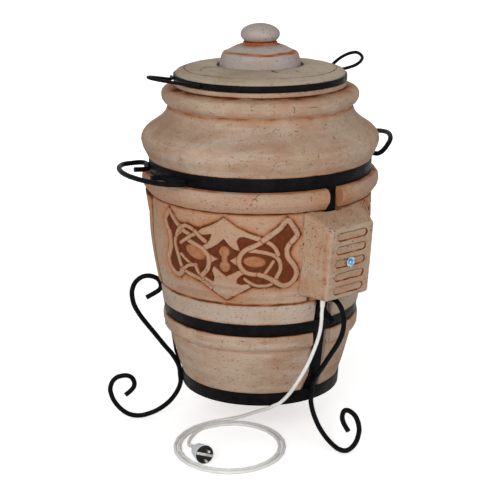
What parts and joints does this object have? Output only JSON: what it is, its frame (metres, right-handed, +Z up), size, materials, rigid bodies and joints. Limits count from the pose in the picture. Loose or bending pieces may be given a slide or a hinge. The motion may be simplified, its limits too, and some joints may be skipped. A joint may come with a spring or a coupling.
{
  "type": "electric clay tandoor oven",
  "caption": "Clay tandoor oven with an electric heating element, in a black steel basket on scroll legs, with a lift-off lid and vent stopper.",
  "frame": {"origin": "on the floor, under the axis of the pot", "axes": "+Z up along the pot's axis; the oven's front faces -Y and its terminal box is to the front right"},
  "size_m": [0.586, 0.6023, 0.8128],
  "materials": {
    "clay": "matt, stained with brown in the hollows",
    "clay_pink": "matt",
    "black_steel": "satin black",
    "steatite": "glazed",
    "element_steel": "dull",
    "zinc": "zinc plated",
    "wire_sheath": "glass-braid sleeve",
    "cord_pvc": "warm light grey",
    "plug_grip": "bluish light grey",
    "plug_black": "black"
  },
  "bodies": {
    "oven": {"pot_body": "clay", "shoulder": "clay", "hearth_plate": "clay_pink", "upper_hoop": "black_steel", "mid_hoop": "black_steel", "lower_hoop": "black_steel", "strap_front": "black_steel", "strap_left": "black_steel", "strap_rear": "black_steel", "base_star": "black_steel", "leg_front": "black_steel", "leg_left": "black_steel", "leg_rear": "black_steel", "carry_handle_left": "black_steel", "carry_handle_right": "black_steel", "heater": "element_steel", "heater_bushes": "steatite", "heater_pins": "zinc", "heater_hooks": "zinc", "back_plate": "zinc", "plate_screws": "zinc", "terminal_cover": "clay", "cover_stud": "zinc", "cover_screw": "zinc", "cover_washer": "zinc", "terminal_block": "steatite", "terminal_screws": "zinc", "link_wires": "wire_sheath", "cord_cores": "wire_sheath", "cord_gland": "cord_pvc", "cord_run": "cord_pvc", "cord_coil": "cord_pvc", "cord_tail": "cord_pvc", "plug_body": "plug_grip", "plug_face": "plug_black", "plug_pins": "zinc", "plug_earth": "zinc"},
    "lid": {"lid_disc": "clay", "lid_hoop": "black_steel", "lid_handle_left": "black_steel", "lid_handle_right": "black_steel"},
    "stopper": {"vent_stopper": "clay_pink"}
  },
  "joints": [
    {"name": "lid_lift", "type": "slide", "parent": "oven", "child": "lid", "axis": [0, 0, 1], "range_m": [0, 0.25]},
    {"name": "stopper_lift", "type": "slide", "parent": "lid", "child": "stopper", "axis": [0, 0, 1], "range_m": [0, 0.15]}
  ]
}
